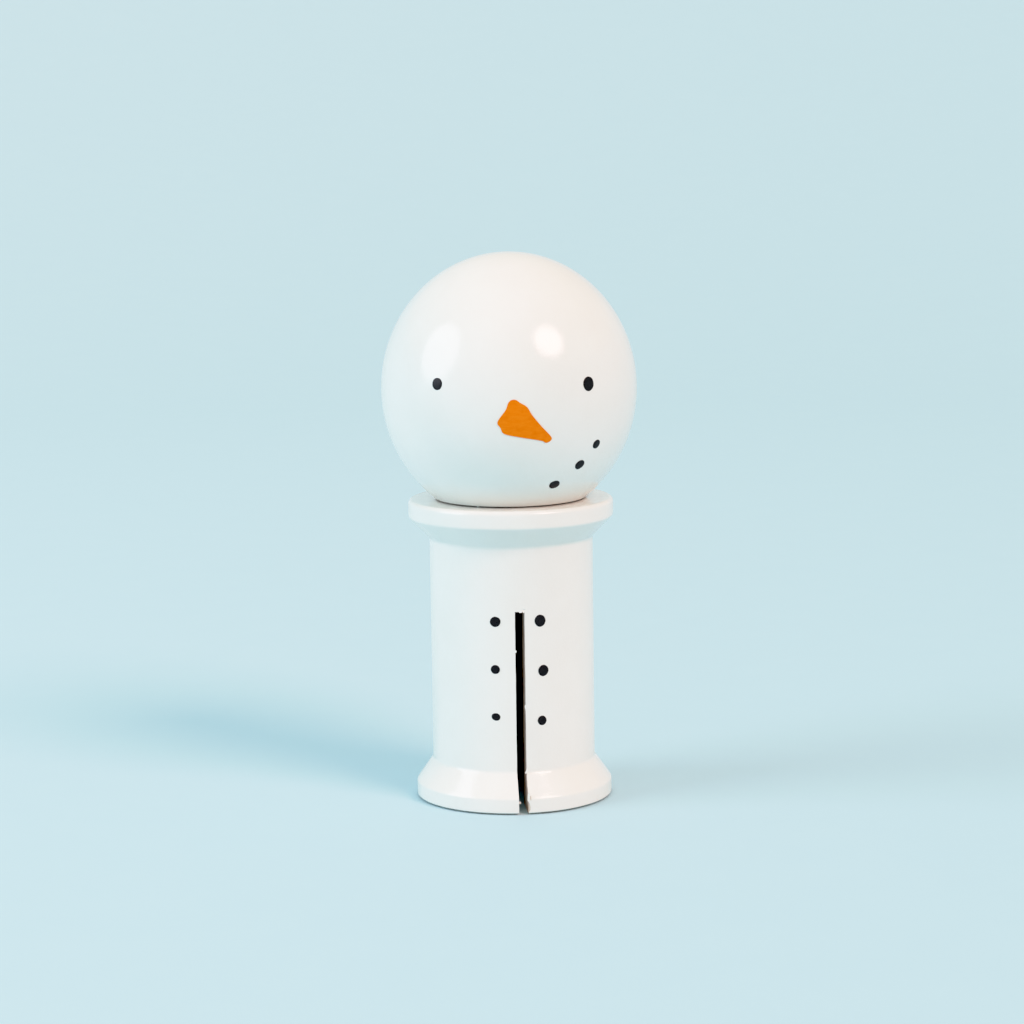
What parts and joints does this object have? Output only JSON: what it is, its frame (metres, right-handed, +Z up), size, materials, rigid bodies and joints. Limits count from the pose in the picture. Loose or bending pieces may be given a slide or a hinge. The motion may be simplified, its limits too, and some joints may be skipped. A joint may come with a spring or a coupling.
{
  "type": "wooden snowman peg figure",
  "caption": "Free-standing painted wooden peg figure: a ball head glued by a dowel to a flanged, bored and slotted spool body, with a snowman's painted face and buttons.",
  "frame": {"origin": "middle of the round foot, on the surface that the figure stands on", "axes": "+Z up along the turned axis, from the foot to the top of the head; -Y is the way the face looks; +X is to the right of the face as seen from the front"},
  "size_m": [0.032, 0.0321, 0.069],
  "materials": {
    "spool_wood": "bare turned and sawn hardwood",
    "head_wood": "bare turned hardwood",
    "dowel_wood": "bare dowel, glued",
    "spool_white_paint": "brushed white acrylic paint, satin gloss",
    "head_white_paint": "white acrylic paint, gloss",
    "orange_paint": "orange paint, satin",
    "black_ink": "black paint dots, gloss"
  },
  "bodies": {
    "root": {"spool_body": "spool_wood", "head_ball": "head_wood", "neck_dowel": "dowel_wood", "spool_paint_coat": "spool_white_paint", "head_paint_coat": "head_white_paint", "carrot_nose": "orange_paint", "left_eye": "black_ink", "right_eye": "black_ink", "mouth_dot_1": "black_ink", "mouth_dot_2": "black_ink", "mouth_dot_3": "black_ink", "button_left_1": "black_ink", "button_left_2": "black_ink", "button_left_3": "black_ink", "button_right_1": "black_ink", "button_right_2": "black_ink", "button_right_3": "black_ink"}
  },
  "joints": []
}
